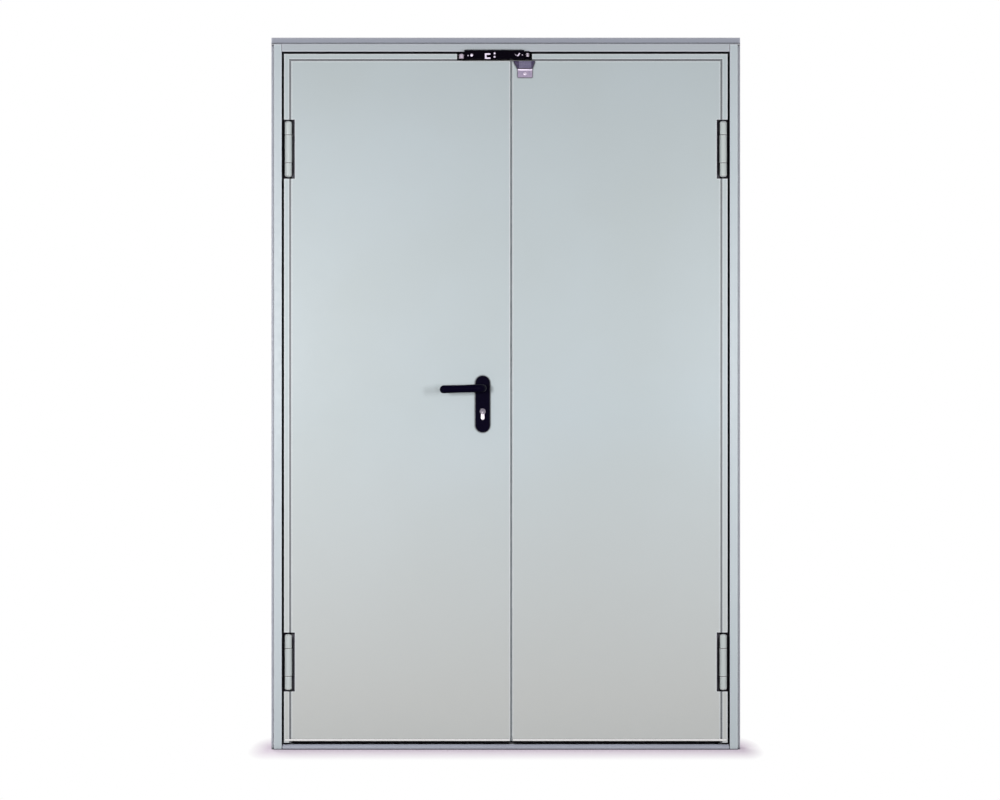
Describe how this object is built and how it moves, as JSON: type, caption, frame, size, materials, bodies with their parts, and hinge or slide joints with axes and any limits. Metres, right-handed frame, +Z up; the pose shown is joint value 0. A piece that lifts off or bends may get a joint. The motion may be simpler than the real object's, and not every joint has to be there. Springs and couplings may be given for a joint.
{
  "type": "double fire door",
  "caption": "Double steel fire door in a steel frame, with barrel hinges, lever handles on the active leaf, lock cylinder, threshold and a closing selector at the head.",
  "frame": {"origin": "centre of the threshold's underside", "axes": "+X to the right seen from the pull side, +Y from the pull side to the push side, +Z up"},
  "size_m": [1.35, 0.2062, 2.05],
  "materials": {
    "frame_paint": "satin",
    "threshold_paint": "satin",
    "leaf_paint": "satin",
    "core_board": "matte",
    "seal_rubber": "matte",
    "hinge_paint": "satin",
    "black_metal": "satin",
    "bright_metal": "satin",
    "dark_steel": "satin",
    "pale_plastic": "matte",
    "dark_plastic": "satin"
  },
  "bodies": {
    "frame": {"left_jamb": "frame_paint", "right_jamb": "frame_paint", "head": "frame_paint", "threshold": "threshold_paint", "left_seal": "seal_rubber", "right_seal": "seal_rubber", "head_seal": "seal_rubber", "bottom_seal": "seal_rubber", "active_lower_hinge_frame_knuckles": "hinge_paint", "active_upper_hinge_frame_knuckles": "hinge_paint", "active_lower_hinge_pin": "hinge_paint", "active_upper_hinge_pin": "hinge_paint", "passive_lower_hinge_frame_knuckles": "hinge_paint", "passive_upper_hinge_frame_knuckles": "hinge_paint", "passive_lower_hinge_pin": "hinge_paint", "passive_upper_hinge_pin": "hinge_paint", "selector_base": "black_metal", "selector_pivot_pin": "bright_metal"},
    "active_leaf": {"active_leaf_core": "core_board", "active_leaf_top_strip": "core_board", "active_leaf_tray": "leaf_paint", "active_leaf_front_sheet": "leaf_paint", "meeting_seal": "seal_rubber", "active_lower_hinge_leaf_knuckle": "hinge_paint", "active_upper_hinge_leaf_knuckle": "hinge_paint", "front_handle_plate": "black_metal", "back_handle_plate": "black_metal", "lock_cylinder": "bright_metal", "lock_forend": "bright_metal", "latch_bolt": "bright_metal"},
    "passive_leaf": {"passive_leaf_core": "core_board", "passive_leaf_top_strip": "core_board", "passive_leaf_tray": "leaf_paint", "passive_leaf_front_sheet": "leaf_paint", "passive_lower_hinge_leaf_knuckle": "hinge_paint", "passive_upper_hinge_leaf_knuckle": "hinge_paint", "strike_plate": "bright_metal", "selector_catch": "dark_plastic", "selector_catch_tab": "bright_metal"},
    "handle": {"front_lever": "black_metal", "back_lever": "black_metal", "spindle": "dark_steel"},
    "selector": {"selector_arm": "black_metal", "selector_axle": "bright_metal", "selector_roller": "pale_plastic", "selector_slide": "bright_metal", "selector_spring": "bright_metal"}
  },
  "joints": [
    {"name": "active_leaf_hinge", "type": "hinge", "parent": "frame", "child": "active_leaf", "pos_m": [-0.6255, -0.05, 0.99], "axis": [0, 0, -1], "range_deg": [0, 110]},
    {"name": "passive_leaf_hinge", "type": "hinge", "parent": "frame", "child": "passive_leaf", "pos_m": [0.6255, -0.05, 0.99], "axis": [0, 0, 1], "range_deg": [0, 110]},
    {"name": "handle_turn", "type": "hinge", "parent": "active_leaf", "child": "handle", "pos_m": [-0.0665, -0.016, 1.04], "axis": [0, -1, 0], "range_deg": [0, 40], "stiffness_Nm_per_rad": 2, "springref_deg": -28.65},
    {"name": "selector_swing", "type": "hinge", "parent": "frame", "child": "selector", "pos_m": [0.062, -0.045, 1.9945], "axis": [0, 0, 1], "range_deg": [0, 60]}
  ]
}
